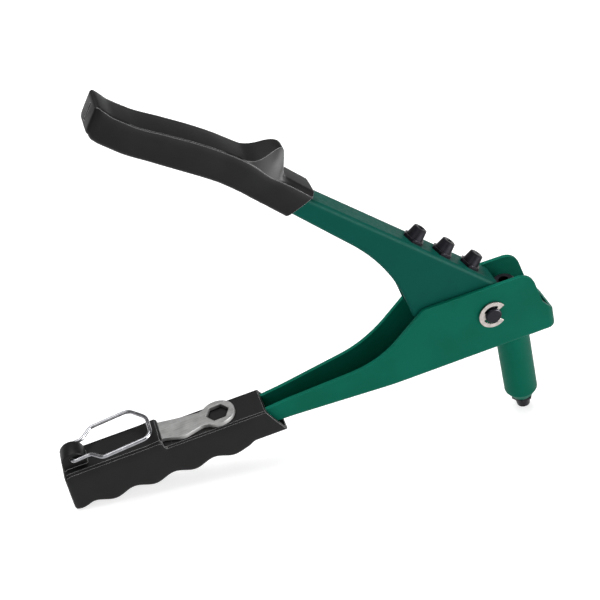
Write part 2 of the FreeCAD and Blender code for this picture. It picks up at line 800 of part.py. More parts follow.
def moving_grip_outline():
    """Side outline of the upper grip, in the moving handle's frame, thumb horn included."""
    return [
        (-221.8, 14.6, 0.8),
        (-220.2, 5.0, 4.0),
        (-219.2, -0.2, 2.5),
        (-205.0, -1.0, 40.0),
        (-158.0, 4.6, 40.0),
        (-144.0, 4.4, 60.0),
        (-122.9, 2.7, 1.5),
        (-119.9, 9.0, 6.0),
        (-116.8, 18.0, 1.0),
        (-131.2, 19.0, 1.0),
        (-137.6, 29.4, 1.2),
        (-142.2, 29.4, 1.2),
        (-149.6, 19.1, 9.0),
        (-168.0, 19.1, 60.0),
        (-206.5, 12.7, 8.0),
        (-214.0, 12.6, 8.0),
    ]


def build_moving_grip(frame):
    """Moulded upper grip: slim sleeve with a thumb horn in front and a lip at its end."""
    body = new_body("moving_grip")
    side = sketch_on(body, "moving_grip_side", "XZ_Plane")
    draw_outline(side, moving_grip_outline())
    extrude(body, "Pad", side, "2 * {moving_grip_half_width}", symmetric=True)
    half = size("moving_grip_half_width")
    for sign in (1, -1):
        facet = sketch_on(body, f"horn_facet_{'far' if sign > 0 else 'near'}", "YZ_Plane",
                          "-200")
        draw_outline(facet, [(sign * (half + 0.5), 19.2), (sign * (half - 0.1), 19.2),
                             (sign * 2.6, 31.0), (sign * (half + 0.5), 31.0)])
        extrude(body, "Pocket", facet, "100", reverse=True)
    socket = sketch_on(body, "moving_grip_socket", "XZ_Plane")
    top = size("lever_web_top")
    tail = size("lever_tail")
    draw_outline(socket, [
        (-tail - 0.1, top - 3.9 + 0.05),
        (-150.0, top + 0.05, 60.0),
        (-100.0, top + 0.05),
        (-100.0, 3.2),
        (-150.0, 6.3, 40.0),
        (-tail - 0.1, top - 11.1),
    ])
    extrude(body, "Pocket", socket, "2 * ({lever_half_width} + {running_gap})", symmetric=True)
    finish(body, frame.multiply(lever_frame()))


# ---------------------------------------------------------------- latch and wrench

def build_latch_wire(frame):
    """Bent wire bail; its two ends turn inward into the heel's boss."""
    body = new_body("latch_wire")
    wide = size("latch_half_width")
    neck = size("latch_neck_half_width")
    reach = size("latch_reach")
    inner = size("boss_half_width") - 1.4
    bend = neck - size("boss_half_width") - size("running_gap")
    corners = [
        (0, -inner), (0, -neck, bend), (9.2, -neck, 4.0), (14.6, -wide, 4.0),
        (reach, -wide, 4.5), (reach, 2.2, 9.0), (31.6, wide, 6.5),
        (14.6, wide, 4.0), (9.2, neck, 4.0), (0, neck, bend), (0, inner),
    ]
    route = sketch_on(body, "latch_route", "XY_Plane")
    route.addGeometry(rounded_pieces(corners)[:-1], False)
    section = sketch_on(body, "latch_section", "XZ_Plane", str(inner))
    draw_circle(section, 0, 0, "{latch_wire_radius}")
    doc.recompute()
    pipe = body.newObject("PartDesign::AdditivePipe", "latch_pipe")
    pipe.Profile = section
    pipe.Spine = (route, [f"Edge{n}" for n in range(1, len(route.Shape.Edges) + 1)])
    doc.recompute()
    lean = Rotation(Vector(0, 1, 0), -size("latch_lean"))
    pivot = Placement(Vector(-size("latch_back"), 0, size("latch_lift")), lean)
    finish(body, frame.multiply(pivot))


def build_wrench(frame):
    """Flat stamped wrench with a ring head and a hexagonal hole; its tail is in the slot."""
    body = new_body("nosepiece_wrench")
    tail = size("wrench_tail")
    plate = sketch_on(body, "wrench_plate", "XY_Plane", "{pocket_floor} + {running_gap}")
    draw_outline(plate, [
        (-tail, -4.2, 2.0),
        (-180.0, -4.6, 8.0),
        (-170.5, -8.3, 6.0),
        (-160.6, -5.3, 5.0),
        (-153.0, -7.6),
        (-153.0, 7.6),
        (-160.6, 4.6, 5.0),
        (-172.0, 6.4, 12.0),
        (-181.5, 8.3, 6.0),
        (-tail, 8.3, 2.0),
    ])
    extrude(body, "Pad", plate, "{wrench_thickness}")
    ring = sketch_on(body, "wrench_ring", "XY_Plane", "{pocket_floor} + {running_gap}")
    draw_circle(ring, -size("wrench_back"), 0, "{wrench_head_radius}")
    extrude(body, "Pad", ring, "{wrench_thickness}")
    opening = sketch_on(body, "wrench_hexagon", "XY_Plane", "{pocket_floor} - 1")
    corner = size("wrench_flats") / math.sqrt(3)
    centre = Vector(-size("wrench_back"), 0, 0)
    turn = size("wrench_hexagon_turn")
    places = [centre + polar(corner, turn + 60 * index) for index in range(6)]
    draw_outline(opening, [(place.x, place.y) for place in places])
    extrude(body, "Pocket", opening, "{wrench_thickness} + 3", reverse=True)
    finish(body, frame)


# ---------------------------------------------------------------- whole tool

def build_all(frame):
    """Build every sub-part in the given frame."""
    build_fixed_handle(frame)
    build_fixed_grip(frame)
    build_fulcrum_pin(frame)
    build_pin_clip(frame)
    build_barrel(frame)
    build_barrel_nut(frame)
    build_jaw_case(frame)
    build_case_nut(frame)
    build_pulling_head(frame)
    build_jaw("jaw_near", -1, frame)
    build_jaw("jaw_far", 1, frame)
    build_jaw_pusher(frame)
    build_jaw_spring(frame)
    build_moving_handle(frame)
    build_moving_grip(frame)
    build_latch_wire(frame)
    build_wrench(frame)
    seat = frame.multiply(Placement(Vector(0, 0, -size("barrel_length")), Rotation()))
    spare = 0
    for name, bore in NOSE_BORES.items():
        if name == "nosepiece_fitted_3_2":
            build_nosepiece(name, bore, seat)
        else:
            build_nosepiece(name, bore, spare_frame(frame, spare))
            spare += 1
    doc.recompute()


def centre_over_origin():
    """Slide the standing tool along X so that its box is centred on the origin."""
    low = min(item.Shape.BoundBox.XMin for item in finished)
    high = max(item.Shape.BoundBox.XMax for item in finished)
    shift = Placement(Vector(-(low + high) / 2, 0, 0), Rotation())
    for item in finished:
        item.Placement = shift.multiply(item.Placement)
    doc.recompute()
    return shift.Base.x


def check_document():
    """Stop if any object failed or any sub-part is not a sound solid."""
    for item in doc.Objects:
        if "Invalid" in item.State or "Error" in item.State:
            raise RuntimeError(f"{item.Label} did not build: {item.State}")
    for item in finished:
        if item.Shape.isNull() or not item.Shape.isValid() or not item.Shape.Solids:
            raise RuntimeError(f"{item.Label} is not a valid solid")


def write_parts():
    """Write each sub-part to its own STEP file."""
    os.makedirs("parts", exist_ok=True)
    for item in finished:
        item.Shape.exportStep(f"parts/{item.Label}.step")


def main():
    """Build, check and write the riveter."""
    fill_sheet()
    build_all(tool_place())
    shift = centre_over_origin()
    check_document()
    write_parts()
    print(f"tilt {standing_tilt():.4f} deg, shift {shift:.4f} mm, {len(finished)} nodes")
    for item in finished:
        box = item.Shape.BoundBox
        print(f"{item.Label:24s} {item.Shape.Volume:10.1f} mm3  z {box.ZMin:7.2f} {box.ZMax:7.2f}")


main()
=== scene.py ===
import json
import logging
import math
from dataclasses import dataclass, field
from enum import Enum
from typing import Any, Callable, Iterable, Mapping, Sequence

import bmesh
import bpy
from bmesh.types import BMesh
from bpy.types import Material, Node, NodeSocket, NodeTree, Object
from mathutils import Matrix, Vector

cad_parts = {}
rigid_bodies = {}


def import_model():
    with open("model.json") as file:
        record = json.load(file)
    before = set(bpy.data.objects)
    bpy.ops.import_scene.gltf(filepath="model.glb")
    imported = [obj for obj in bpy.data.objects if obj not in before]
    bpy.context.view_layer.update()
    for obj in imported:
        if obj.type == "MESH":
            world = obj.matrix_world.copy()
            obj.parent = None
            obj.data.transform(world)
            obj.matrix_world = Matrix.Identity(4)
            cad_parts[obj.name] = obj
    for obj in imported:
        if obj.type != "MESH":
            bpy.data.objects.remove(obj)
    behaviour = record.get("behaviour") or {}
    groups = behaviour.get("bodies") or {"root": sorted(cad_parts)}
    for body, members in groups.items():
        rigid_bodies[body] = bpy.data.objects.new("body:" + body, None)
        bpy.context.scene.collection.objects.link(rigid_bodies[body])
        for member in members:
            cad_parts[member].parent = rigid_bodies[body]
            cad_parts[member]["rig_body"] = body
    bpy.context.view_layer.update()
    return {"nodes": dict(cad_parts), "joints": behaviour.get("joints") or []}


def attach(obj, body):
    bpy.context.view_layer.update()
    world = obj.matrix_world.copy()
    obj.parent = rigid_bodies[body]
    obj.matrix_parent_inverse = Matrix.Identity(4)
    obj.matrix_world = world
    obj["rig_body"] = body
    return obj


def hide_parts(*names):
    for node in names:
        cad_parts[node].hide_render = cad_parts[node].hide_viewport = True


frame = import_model()
LOG = logging.getLogger("hand_riveter")
MM = 0.001
# The fulcrum pin's place in the tool frame, in mm.
PIN_BACK, PIN_LIFT = 11.4, 22.1
# Cosines of the turn between rounded and true normal where the painted edge highlight is full,
# and where there is none.
EDGE_FULL, EDGE_NONE = 0.86, 0.99
# A band wave turns 20 radians in a unit of its scale.
WAVE_TURN = 2 * math.pi / 20
WELD_M = 1e-7
COPLANAR_DEG = 0.4
COPY_CREASE_DEG = 30.0
GRIP_CREASE_DEG = 34.0
NOSE_CREASE_DEG = 20.0
WIRE_CREASE_DEG = 50.0
CUTTER_LENGTH = 12.0
JOINTS = {joint["name"]: joint for joint in frame["joints"]}


# ------------------------------------------------------------------ frames

class Axis(Enum):
    """Direction that a turned piece's tool marks run round."""

    NOSE = "nose"
    LEVER = "lever"
    ACROSS = "across"


@dataclass(frozen=True)
class Frames:
    """Places that pieces are drawn in, read from the record's joints; units are mm."""

    tool: Matrix
    lever: Matrix

    @staticmethod
    def read() -> "Frames":
        """Work the frames out from the hinge and the two kinds of slide.

        Returns:
            The tool frame and the moving handle's frame.
        """
        hinge = Vector(JOINTS["handle_hinge"]["pos_m"])
        nose_up = Vector(JOINTS["pulling_slide"]["axis"])
        lever_up = Vector(JOINTS["nosepiece_spare_2_4_slide"]["axis"])
        tool = Frames.upright(Vector((0, 0, 0)), nose_up)
        origin = hinge - (tool.to_3x3() @ Vector((-PIN_BACK, 0, PIN_LIFT)))
        return Frames(Frames.upright(origin, nose_up), Frames.upright(hinge, lever_up))

    @staticmethod
    def upright(origin: Vector, up: Vector) -> Matrix:
        """Frame with Y across the tool and Z along a direction, scaled from mm to m.

        Args:
            origin: where the frame's origin lies, in metres.
            up: the frame's Z direction.

        Returns:
            The matrix from the frame's mm to the row frame's metres.
        """
        across = Vector((0, 1, 0))
        along = across.cross(up).normalized()
        turn = Matrix((along, across, up.normalized())).transposed()
        return Matrix.Translation(origin) @ turn.to_4x4() @ Matrix.Scale(MM, 4)


# ------------------------------------------------------------------ materials

def linear(code: str) -> tuple[float, float, float, float]:
    """Turn an sRGB hex colour into linear RGBA.

    Args:
        code: colour as #RRGGBB.

    Returns:
        The linear colour with full alpha.
    """
    parts = [int(code[place:place + 2], 16) / 255 for place in (1, 3, 5)]
    bent = [p / 12.92 if p <= 0.04045 else ((p + 0.055) / 1.055) ** 2.4 for p in parts]
    return (bent[0], bent[1], bent[2], 1.0)


def add_node(tree: NodeTree, kind: str, settings: Mapping[Any, Any] | None = None,
             links: Mapping[Any, NodeSocket] | None = None) -> Node:
    """Add one node with its settings and links.

    Args:
        tree: tree that takes the node.
        kind: Blender's name of the node type.
        settings: values by input name or number, or by property name.
        links: sources by input name or number.

    Returns:
        The new node.
    """
    made = tree.nodes.new(kind)
    for key, value in (settings or {}).items():
        if isinstance(key, int) or key in made.inputs:
            made.inputs[key].default_value = value
        else:
            setattr(made, key, value)
    for key, source in (links or {}).items():
        tree.links.new(source, made.inputs[key])
    return made


def per_metre(size_mm: float) -> float:
    """Texture scale that repeats a pattern once in a real size."""
    return 1000.0 / size_mm


def start_material(name: str, surface: Mapping[str, Any]
                   ) -> tuple[Material, Any, Any, Any]:
    """Start a node material that is laid out in the piece's own metres.

    Args:
        name: material's name.
        surface: constants set straight on the surface shader.

    Returns:
        The material, its tree, its surface shader and the coordinate socket.
    """
    material = bpy.data.materials.new(name)
    material.use_nodes = True
    tree = material.node_tree
    tree.nodes.clear()
    shader = add_node(tree, "ShaderNodeBsdfPrincipled", surface)
    add_node(tree, "ShaderNodeOutputMaterial", links={"Surface": shader.outputs["BSDF"]})
    place = add_node(tree, "ShaderNodeTexCoord").outputs["Object"]
    return material, tree, shader, place


def two_tone(tree: NodeTree, factor: NodeSocket, low: Any, high: Any,
             start: float = 0.0, stop: float = 1.0) -> NodeSocket:
    """Ramp between two colours, or between two greys for a roughness.

    Args:
        tree: tree that takes the ramp.
        factor: what drives the ramp.
        low: colour at the start.
        high: colour at the stop.
        start: factor where the ramp begins.
        stop: factor where it ends.

    Returns:
        The ramp's colour socket.
    """
    ramp = add_node(tree, "ShaderNodeValToRGB", links={"Fac": factor})
    ramp.color_ramp.elements[0].position = start
    ramp.color_ramp.elements[0].color = low
    ramp.color_ramp.elements[1].position = stop
    ramp.color_ramp.elements[1].color = high
    return ramp.outputs["Color"]


def grey(value: float) -> tuple[float, float, float, float]:
    """Grey of one value, for a ramp that feeds a roughness."""
    return (value, value, value, 1.0)


def clouds(tree: NodeTree, place: NodeSocket, size_mm: float, detail: float = 2.0,
           roughness: float = 0.5) -> NodeSocket:
    """Cloudy pattern whose patches have a real size."""
    settings = {"Scale": per_metre(size_mm), "Detail": detail, "Roughness": roughness}
    return add_node(tree, "ShaderNodeTexNoise", settings, {"Vector": place}).outputs["Fac"]


def paint_edge_highlights(tree: NodeTree, shader: Node, skin: NodeSocket, painted_highlight: str,
                 radius_mm: float) -> NodeSocket:
    """Colour a surface, with a painted highlight colour where a rounded normal finds a hard
    edge.

    Args:
        tree: tree that takes the nodes.
        shader: surface shader that gets the colour.
        skin: colour away from edges.
        painted_highlight: painted highlight colour on edges, as #RRGGBB.
        radius_mm: how far from an edge the painted highlight reaches.

    Returns:
        The rounded normal.
    """
    rounded = add_node(tree, "ShaderNodeBevel", {"samples": 6, "Radius": radius_mm * MM})
    flat = add_node(tree, "ShaderNodeNewGeometry")
    along = add_node(tree, "ShaderNodeVectorMath", {"operation": "DOT_PRODUCT"},
                     {0: rounded.outputs["Normal"], 1: flat.outputs["Normal"]})
    # Mask of the painted highlight: full on hard edges, none on flat faces.
    edge = two_tone(tree, along.outputs["Value"], grey(1.0), grey(0.0), EDGE_FULL,
                    EDGE_NONE)
    mixed = add_node(tree, "ShaderNodeMix", {"data_type": "RGBA", "B": linear(painted_highlight)},
                     {"Factor": edge, "A": skin})
    tree.links.new(mixed.outputs["Result"], shader.inputs["Base Color"])
    return rounded.outputs["Normal"]


def relief(tree: NodeTree, shader: Node, height: NodeSocket, strength: float,
           depth_mm: float, normal: NodeSocket | None = None) -> None:
    """Raise a surface by a pattern.

    Args:
        tree: tree that takes the node.
        shader: surface shader that gets the new normal.
        height: the pattern.
        strength: share of the full effect.
        depth_mm: height of the pattern.
        normal: normal to start from, if not the piece's own.
    """
    links = {"Height": height} if normal is None else {"Height": height, "Normal": normal}
    bump = add_node(tree, "ShaderNodeBump", {"Strength": strength, "Distance": depth_mm * MM},
                    links)
    tree.links.new(bump.outputs["Normal"], shader.inputs["Normal"])


def along_frame(tree: NodeTree, place: NodeSocket, turn: Matrix) -> NodeSocket:
    """Turn a pattern's coordinates so that they run along a frame's own axes."""
    lean = turn.to_3x3().normalized().inverted().to_euler()
    return add_node(tree, "ShaderNodeMapping", {"Rotation": tuple(lean)},
                    {"Vector": place}).outputs["Vector"]


@dataclass(frozen=True)
class PowderCoat:
    """Polyester powder coat baked on pressed steel: a satin green skin with orange peel.

    The eye gets a deep, even green with greenish soft highlights that break up slightly,
    and a painted highlight: paler green lines along hard edges and bends.
    """

    name: str = "powder_coated_steel"
    body: str = "#075B4A"
    shade: str = "#065543"
    # Painted highlight: a paler green laid along hard edges and bends.
    edge_highlight: str = "#2C8270"
    sheen: str = "#8FD6C4"
    peel_mm: float = 1.6
    patch_mm: float = 26.0
    highlight_mm: float = 0.35

    def make(self) -> Material:
        """Build the node material."""
        material, tree, shader, place = start_material(
            self.name, {"Metallic": 0.0, "IOR": 1.5, "Specular IOR Level": 0.05,
                        "Specular Tint": linear(self.sheen)})
        patch = clouds(tree, place, self.patch_mm, 4.0)
        coat = two_tone(tree, patch, linear(self.shade), linear(self.body), 0.35, 0.65)
        # Paler green along hard edges and bends: a painted highlight.
        rounded = paint_edge_highlights(tree, shader, coat, self.edge_highlight, self.highlight_mm)
        peel = clouds(tree, place, self.peel_mm, 1.5)
        tree.links.new(two_tone(tree, peel, grey(0.42), grey(0.54), 0.3, 0.7),
                       shader.inputs["Roughness"])
        relief(tree, shader, peel, 0.14, 0.05, rounded)
        return material


@dataclass(frozen=True)
class MouldedVinyl:
    """Dip-moulded PVC sleeve: near-black, matt, with a fine spark-eroded grain.

    The eye gets a dark charcoal that barely changes over the surface, and a dull sheen;
    thin pale lines along the moulded creases are a painted highlight. The grain is finer
    than a render shows, so it is drawn about twice as coarse as the real 0.3 mm.
    """

    name: str = "moulded_vinyl"
    body: str = "#070707"
    dusty: str = "#0B0B0B"
    # Painted highlight: a pale grey laid along the moulded creases.
    painted_highlight: str = "#9C9C9C"
    grain_mm: float = 0.65
    patch_mm: float = 14.0
    highlight_mm: float = 0.45

    def make(self) -> Material:
        """Build the node material."""
        material, tree, shader, place = start_material(
            self.name, {"Metallic": 0.0, "IOR": 1.53, "Specular IOR Level": 0.13})
        patch = clouds(tree, place, self.patch_mm, 5.0)
        skin = two_tone(tree, patch, linear(self.body), linear(self.dusty), 0.4, 0.72)
        # Pale grey along the moulded creases: a painted highlight.
        rounded = paint_edge_highlights(tree, shader, skin, self.painted_highlight, self.highlight_mm)
        grain = add_node(tree, "ShaderNodeTexVoronoi",
                         {"Scale": per_metre(self.grain_mm)}, {"Vector": place})
        tree.links.new(two_tone(tree, patch, grey(0.40), grey(0.52), 0.3, 0.7),
                       shader.inputs["Roughness"])
        relief(tree, shader, grain.outputs["Distance"], 0.16, 0.04, rounded)
        return material


@dataclass(frozen=True)
class TurnedSteel:
    """Steel turned on a lathe, bare or with a chemical finish.

    The eye gets faint rings round the turning axis and a cloudy, uneven sheen. Real feed
    marks, about 0.1 mm apart, are finer than a render shows, so the rings are broad ones.
    """

    name: str
    body: str
    shade: str
    roughness: float
    metallic: float = 1.0
    ring_mm: float = 2.0106
    cloud_mm: float = 2.4
    ring_depth: float = 0.12

    def make(self, turn: Matrix) -> Material:
        """Build the node material for pieces turned about one axis.

        Args:
            turn: frame whose Z is the turning axis.

        Returns:
            The material.
        """
        material, tree, shader, place = start_material(self.name, {"Metallic": self.metallic})
        rings = add_node(tree, "ShaderNodeTexWave",
                         {"wave_type": "BANDS", "bands_direction": "Z",
                          "Scale": per_metre(self.ring_mm) * WAVE_TURN, "Distortion": 0.4,
                          "Detail": 2.0}, {"Vector": along_frame(tree, place, turn)})
        cloud = clouds(tree, place, self.cloud_mm, 5.0, 0.6)
        tree.links.new(two_tone(tree, cloud, linear(self.shade),
                                linear(self.body), 0.35, 0.65), shader.inputs["Base Color"])
        tree.links.new(two_tone(tree, cloud, grey(self.roughness - 0.06),
                                grey(self.roughness + 0.08), 0.3, 0.7),
                       shader.inputs["Roughness"])
        relief(tree, shader, rings.outputs["Fac"], self.ring_depth, 0.03)
        return material


@dataclass(frozen=True)
class StampedZinc:
    """Stamped steel plate, tumbled and zinc plated.

    The eye gets a pale grey with a cloudy, slightly streaked sheen along the plate.
    """

    name: str = "stamped_zinc_steel"
    body: str = "#898988"
    shade: str = "#757574"
    streak_mm: float = 0.5
    run_mm: float = 9.0
    cloud_mm: float = 4.5
    roughness: float = 0.5

    def make(self, turn: Matrix) -> Material:
        """Build the node material with its streaks along a frame's X.

        Args:
            turn: frame whose X the rolling streaks follow.

        Returns:
            The material.
        """
        material, tree, shader, place = start_material(self.name, {"Metallic": 1.0})
        stretched = add_node(tree, "ShaderNodeMapping",
                             {"Scale": (per_metre(self.run_mm), per_metre(self.streak_mm),
                                        per_metre(self.streak_mm))},
                             {"Vector": along_frame(tree, place, turn)})
        streak = add_node(tree, "ShaderNodeTexNoise", {"Scale": 1.0, "Detail": 4.0},
                          {"Vector": stretched.outputs["Vector"]})
        cloud = clouds(tree, place, self.cloud_mm, 6.0)
        both = add_node(tree, "ShaderNodeMath", {"operation": "ADD"},
                        {0: streak.outputs["Fac"], 1: cloud})
        half = add_node(tree, "ShaderNodeMath", {"operation": "MULTIPLY", 1: 0.5},
                        {0: both.outputs["Value"]})
        tree.links.new(two_tone(tree, half.outputs["Value"], linear(self.shade),
                                linear(self.body), 0.38, 0.6), shader.inputs["Base Color"])
        tree.links.new(two_tone(tree, half.outputs["Value"], grey(self.roughness + 0.1),
                                grey(self.roughness - 0.06), 0.35, 0.65),
                       shader.inputs["Roughness"])
        relief(tree, shader, streak.outputs["Fac"], 0.1, 0.03)
        return material


@dataclass(frozen=True)
class StudioFloor:
    """Lit white laminate: a pale even ground that leaves only a trace of shadow."""

    name: str = "white_laminate"
    body: str = "#C8C8C8"
    shade: str = "#C4C4C4"
    glow: float = 0.7
    cloud_mm: float = 400.0

    def make(self) -> Material:
        """Build the node material."""
        material, tree, shader, place = start_material(
            self.name, {"Metallic": 0.0, "Roughness": 0.8, "Specular IOR Level": 0.1,
                        "Emission Color": linear("#FFFFFF"), "Emission Strength": self.glow})
        cloud = clouds(tree, place, self.cloud_mm)
        tree.links.new(two_tone(tree, cloud, linear(self.shade),
                                linear(self.body)), shader.inputs["Base Color"])
        return material


class Finishes:
    """Every material of the tool, built once and shared by the sub-assemblies."""

    def __init__(self, frames: Frames) -> None:
        """Build the materials.

        Args:
            frames: the tool's frames, for finishes that follow a direction.
        """
        across = Matrix.Rotation(math.radians(90), 4, "X")
        self.coat = PowderCoat().make()
        # The moving handle gets a darker copy of the same coat: painted shade, as its sides
        # catch less light than the fixed handle's.
        self.shaded_lever_coat = PowderCoat("powder_coat_lever_painted_shade", "#084B41", "#07463C").make()
        self.vinyl = MouldedVinyl().make()
        self.floor = StudioFloor().make()
        oxide = {"body": "#17161D", "shade": "#0F0E14", "roughness": 0.38, "metallic": 0.75}
        bright = {"body": "#9C9A96", "shade": "#84817D", "roughness": 0.3}
        plain = {"body": "#8C8A88", "shade": "#6E6C6A", "roughness": 0.36}
        self.oxide = {
            Axis.NOSE: TurnedSteel("black_oxide_nose", **oxide).make(frames.tool),
            Axis.LEVER: TurnedSteel("black_oxide_spare", **oxide).make(frames.lever),
            Axis.ACROSS: TurnedSteel("black_oxide_pin", **oxide).make(across),
        }
        self.nut = TurnedSteel("zinc_plated_nut", **bright).make(frames.tool)
        self.steel = TurnedSteel("bare_tool_steel", **plain).make(frames.tool)
        self.clip = TurnedSteel("zinc_spring_clip", "#A9A29E", "#928C88", 0.36).make(across)
        self.wire = TurnedSteel("nickel_plated_wire", "#97979A", "#7C7C80", 0.2,
                                ring_mm=8.7965, ring_depth=0.05).make(across)
        self.plate = StampedZinc().make(frames.tool)


# ------------------------------------------------------------------ mesh helpers

def in_scene(name: str, data: Any) -> Object:
    """New object that holds a mesh, curve, light or camera and is linked to the scene."""
    made = bpy.data.objects.new(name, data)
    bpy.context.scene.collection.objects.link(made)
    return made


def mesh_object(name: str, builder: BMesh) -> Object:
    """Put a finished bmesh in the scene as an object.

    Args:
        name: piece's name.
        builder: the mesh; it is freed here.

    Returns:
        The linked object.
    """
    mesh = bpy.data.meshes.new(name)
    bmesh.ops.recalc_face_normals(builder, faces=builder.faces)
    builder.to_mesh(mesh)
    builder.free()
    return in_scene(name, mesh)


def bridge(builder: BMesh, rings: Sequence[Sequence[Any]],
           capped: bool = True) -> None:
    """Join a row of rings with quads, each ring to the next.

    Args:
        builder: mesh that takes the faces.
        rings: rings of vertices, all of one length.
        capped: whether the first and last ring are closed with a face.
    """
    for here, there in zip(rings, rings[1:]):
        for index in range(len(here)):
            after = (index + 1) % len(here)
            builder.faces.new((here[index], here[after], there[after], there[index]))
    if capped:
        builder.faces.new(list(reversed(rings[0])))
        builder.faces.new(rings[-1])


def settle_modifiers(piece: Object) -> None:
    """Turn a piece's modifiers into plain mesh."""
    graph = bpy.context.evaluated_depsgraph_get()
    mesh = bpy.data.meshes.new_from_object(piece.evaluated_get(graph))
    piece.modifiers.clear()
    piece.data = mesh


def shade(piece: Object, crease_deg: float) -> None:
    """Shade smooth, with sharp edges above an angle."""
    piece.data.shade_smooth()
    piece.data.set_sharp_from_angle(angle=math.radians(crease_deg))


def combine(piece: Object, other: Object, operation: str) -> None:
    """Join or cut a piece with another, which is then removed.

    Args:
        piece: the piece that is changed.
        other: the piece that is added or taken away.
        operation: UNION or DIFFERENCE.
    """
    step = piece.modifiers.new(operation.lower(), "BOOLEAN")
    step.operation = operation
    step.solver = "EXACT"
    step.object = other
    settle_modifiers(piece)
    bpy.data.objects.remove(other)


def round_edges(piece: Object, radius_mm: float, angle_deg: float = 32.0,
                segments: int = 2) -> None:
    """Round a piece's hard edges.

    Args:
        piece: the piece.
        radius_mm: size of the rounding.
        angle_deg: edges sharper than this are rounded.
        segments: facets in the rounding.
    """
    step = piece.modifiers.new("edge_round", "BEVEL")
    step.limit_method = "ANGLE"
    step.angle_limit = math.radians(angle_deg)
    step.width = radius_mm * MM
    step.segments = segments
    step.use_clamp_overlap = True
    settle_modifiers(piece)


def flatten_faces(piece: Object) -> None:
    """Let large faces keep their own normals, so rounded edges take all the bending."""
    step = piece.modifiers.new("weighted", "WEIGHTED_NORMAL")
    step.keep_sharp = True
    step.weight = 100
    settle_modifiers(piece)


def finished_copy(node: str, radius_mm: float, angle_deg: float = 32.0) -> Object:
    """Copy of a CAD node with its coplanar facets merged and its hard edges rounded.

    Args:
        node: the CAD node that the copy stands for.
        radius_mm: size of the edge rounding.
        angle_deg: edges sharper than this are rounded.

    Returns:
        The new piece.
    """
    builder = bmesh.new()
    builder.from_mesh(frame["nodes"][node].data)
    for layer in list(builder.loops.layers.float_vector.values()):
        builder.loops.layers.float_vector.remove(layer)
    bmesh.ops.remove_doubles(builder, verts=builder.verts, dist=WELD_M)
    bmesh.ops.dissolve_limit(builder, angle_limit=math.radians(COPLANAR_DEG),
                             verts=builder.verts, edges=builder.edges)
    piece = mesh_object(f"{node}_finished", builder)
    round_edges(piece, radius_mm, angle_deg)
    shade(piece, COPY_CREASE_DEG)
    flatten_faces(piece)
    return piece


def outline_solid(name: str, points: Sequence[tuple[float, float]], low: float, high: float,
                  place: Matrix) -> Object:
    """Prism from an X-Z outline, pushed across along Y.

    Args:
        name: object's name.
        points: outline corners in order, as (x, z).
        low: lower Y.
        high: upper Y.
        place: matrix from mm to the row frame.

    Returns:
        The prism.
    """
    builder = bmesh.new()
    bridge(builder, [[builder.verts.new(place @ Vector((x, y, z))) for x, z in points]
                     for y in (low, high)])
    return mesh_object(name, builder)


def rounded_box(low: Sequence[float], high: Sequence[float], place: Matrix,
                radius: float = 0.0) -> Object:
    """Box between two corners, in mm, with optional rounded edges.

    Args:
        low: lowest corner.
        high: highest corner.
        place: matrix from mm to the row frame.
        radius: edge radius in mm.

    Returns:
        The box.
    """
    corners = [(low[0], low[2]), (high[0], low[2]), (high[0], high[2]), (low[0], high[2])]
    piece = outline_solid("cutter", corners, low[1], high[1], place)
    if radius:
        round_edges(piece, radius, segments=3)
    return piece


def arc_points(centre: tuple[float, float], radius: float, start_deg: float, stop_deg: float,
               count: int) -> list[tuple[float, float]]:
    """Points along an arc, both ends included."""
    angles = [math.radians(start_deg + (stop_deg - start_deg) * step / (count - 1))
              for step in range(count)]
    return [(centre[0] + radius * math.cos(a), centre[1] + radius * math.sin(a))
            for a in angles]


def turned_solid(name: str, profile: Sequence[tuple[float, float]], place: Matrix,
                 count: int = 64) -> Object:
    """Solid turned from a closed profile of (radius, z) about a frame's Z.

    Args:
        name: piece's name.
        profile: closed outline, radius first.
        place: matrix from mm to the row frame.
        count: facets round the axis.

    Returns:
        The piece.
    """
    builder = bmesh.new()
    rings = []
    for step in range(count):
        angle = 2 * math.pi * step / count
        rings.append([builder.verts.new(place @ Vector(
            (radius * math.cos(angle), radius * math.sin(angle), z)))
            for radius, z in profile])
    bridge(builder, [*rings, rings[0]], capped=False)
    return mesh_object(name, builder)


def dress(piece: Object, material: Material, node: str) -> None:
    """Finish a new piece that stands for a CAD node: material, body, slot and log line.

    Args:
        piece: the piece.
        material: its material.
        node: the CAD node that it stands for.
    """
    piece.data.materials.clear()
    piece.data.materials.append(material)
    body = frame["nodes"][node]["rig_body"]
    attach(piece, body)
    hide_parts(node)
    LOG.info("%s rides on %s and stands for %s", piece.name, body, node)


def dress_copy(node: str, radius_mm: float, material: Material,
               angle_deg: float = 32.0) -> None:
    """Put a finished copy in a CAD node's place, with edges of one radius."""
    dress(finished_copy(node, radius_mm, angle_deg), material, node)


def dress_nodes(material: Material, nodes: Iterable[str]) -> None:
    """Give CAD nodes that keep their own shape a material."""
    for node in nodes:
        for slot in frame["nodes"][node].material_slots:
            slot.material = material
        LOG.info("%s keeps its shape in %s", node, material.name)


# ------------------------------------------------------------------ moulded sleeves

@dataclass(frozen=True)
class Station:
    """One cross-section of a moulded sleeve, in mm.

    It stands at x along the tool. Low, crease and top are heights, half is the half width
    at the crease, shoulder is the half width of the crown, and lean tips the section.
    """

    x: float
    low: float
    crease: float
    shoulder: float
    top: float
    half: float
    lean: float = 0.0

    def values(self) -> tuple[float, ...]:
        """Everything that is blended between stations."""
        return (self.low, self.crease, self.shoulder, self.top, self.half, self.lean)


def even_slopes(places: Sequence[float], values: Sequence[float]) -> list[float]:
    """Slopes of a curve through points that never overshoots them.

    Args:
        places: where the points are.
        values: their values.

    Returns:
        One slope for each point.
    """
    runs = [b - a for a, b in zip(places, places[1:])]
    rises = [(b - a) / run for a, b, run in zip(values, values[1:], runs)]
    slopes = [rises[0]]
    for left, right in zip(rises, rises[1:]):
        slopes.append(2 * left * right / (left + right) if left * right > 0 else 0.0)
    slopes.append(rises[-1])
    return slopes


